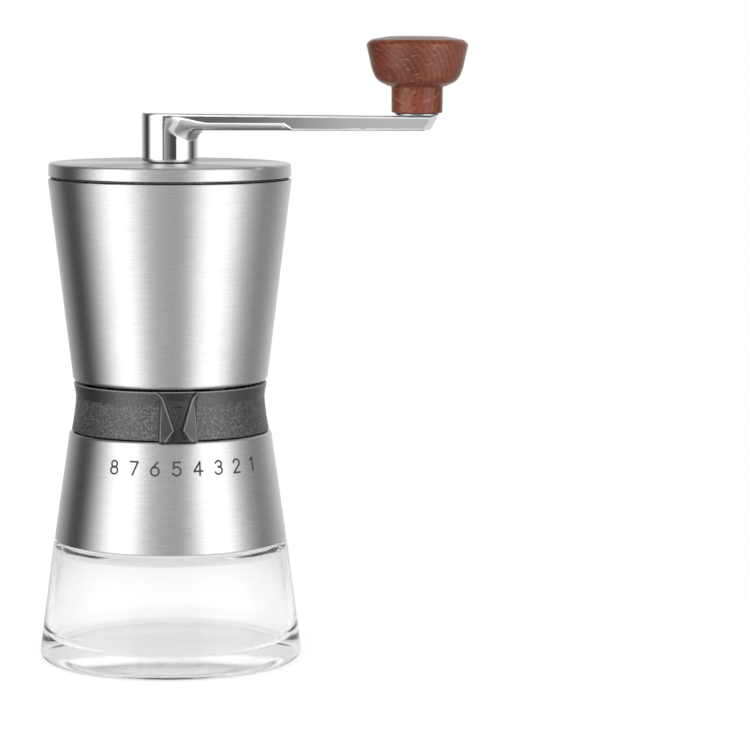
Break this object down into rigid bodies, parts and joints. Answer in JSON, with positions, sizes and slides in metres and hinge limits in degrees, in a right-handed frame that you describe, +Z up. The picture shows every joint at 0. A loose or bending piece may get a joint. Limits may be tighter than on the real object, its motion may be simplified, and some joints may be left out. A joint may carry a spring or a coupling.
{
  "type": "hand crank coffee grinder",
  "caption": "Hand crank coffee grinder with a screw-on glass jar, an outside grind-setting ring, a steel bean hopper, a lift-off lid and a crank with a wooden knob.",
  "frame": {"origin": "centre of the glass jar's flat foot", "axes": "+Z up along the shaft; -Y is the front, where the setting ring's pointer rests over setting 5; the crank rests 20 degrees in front of +X"},
  "size_m": [0.1273, 0.0817, 0.1913],
  "materials": {
    "glass": "clear pressed glass, fire-polished",
    "brushed_steel": "stainless skin brushed round its axis",
    "chrome": "bright plated, mirror finish",
    "bright_steel": "turned and plated steel",
    "brass": "turned brass",
    "black_plastic": "moulded, fine spark-eroded grain",
    "bush_plastic": "self-lubricating moulded plastic, satin",
    "silicone": "soft moulded seal, matte",
    "burr_ceramic": "fired and ground, matte",
    "wood": "turned hardwood, reddish brown, clear varnish"
  },
  "bodies": {
    "jar": {"glass_jar": "glass"},
    "seal": {"jar_seal": "silicone"},
    "housing": {"lower_shell": "brushed_steel", "lower_housing": "black_plastic", "detent_ball": "bright_steel", "detent_spring": "bright_steel", "housing_screw_1": "bright_steel", "housing_screw_2": "bright_steel", "housing_screw_3": "bright_steel", "hopper_shell": "brushed_steel", "hopper_liner": "black_plastic", "lower_bridge": "black_plastic", "upper_bridge": "black_plastic", "lower_bush": "bush_plastic", "upper_bush": "bush_plastic"},
    "ring": {"setting_ring": "black_plastic"},
    "carrier": {"burr_carrier": "black_plastic", "burr_retainer": "black_plastic", "ring_burr": "burr_ceramic"},
    "shaft": {"drive_shaft": "bright_steel", "cone_burr": "burr_ceramic", "burr_driver": "bush_plastic", "burr_washer": "bright_steel", "burr_nut": "bright_steel", "burr_spring": "bright_steel", "spring_washer": "bright_steel", "shaft_clip": "bright_steel"},
    "lid": {"lid_cap": "brushed_steel", "lid_insert": "black_plastic", "lid_seal": "silicone"},
    "crank": {"crank_arm": "chrome", "knob_washer": "bright_steel", "knob_axle": "bright_steel"},
    "grip": {"knob": "wood", "knob_insert": "brass"}
  },
  "joints": [
    {"name": "seal_lift", "type": "slide", "parent": "jar", "child": "seal", "axis": [0, 0, 1], "range_m": [0, 0.01]},
    {"name": "unscrew", "type": "hinge", "parent": "seal", "child": "housing", "pos_m": [0, 0, 0.042], "axis": [0, 0, 1], "range_deg": [0, 900]},
    {"name": "ring_turn", "type": "hinge", "parent": "housing", "child": "ring", "pos_m": [0, 0, 0.0783], "axis": [0, 0, 1], "range_deg": [-34.95, 46.6]},
    {"name": "carrier_slide", "type": "slide", "parent": "housing", "child": "carrier", "axis": [0, 0, 1], "range_m": [-0.00156, 0.00117]},
    {"name": "crank_turn", "type": "hinge", "parent": "housing", "child": "shaft", "pos_m": [0, 0, 0.11], "axis": [0, 0, 1], "continuous": true},
    {"name": "lid_lift", "type": "slide", "parent": "housing", "child": "lid", "axis": [0, 0, 1], "range_m": [0, 0.04]},
    {"name": "crank_lift", "type": "slide", "parent": "shaft", "child": "crank", "axis": [0, 0, 1], "range_m": [0, 0.04]},
    {"name": "knob_spin", "type": "hinge", "parent": "crank", "child": "grip", "pos_m": [0.07189, -0.02617, 0.1795], "axis": [0, 0, 1], "continuous": true}
  ],
  "couplings": [
    {"joint": "seal_lift", "follows": "unscrew", "m_per_rad": 0.00063662},
    {"joint": "carrier_slide", "follows": "ring_turn", "m_per_rad": -0.0019099},
    {"joint": "crank_lift", "follows": "lid_lift", "ratio": 1}
  ]
}
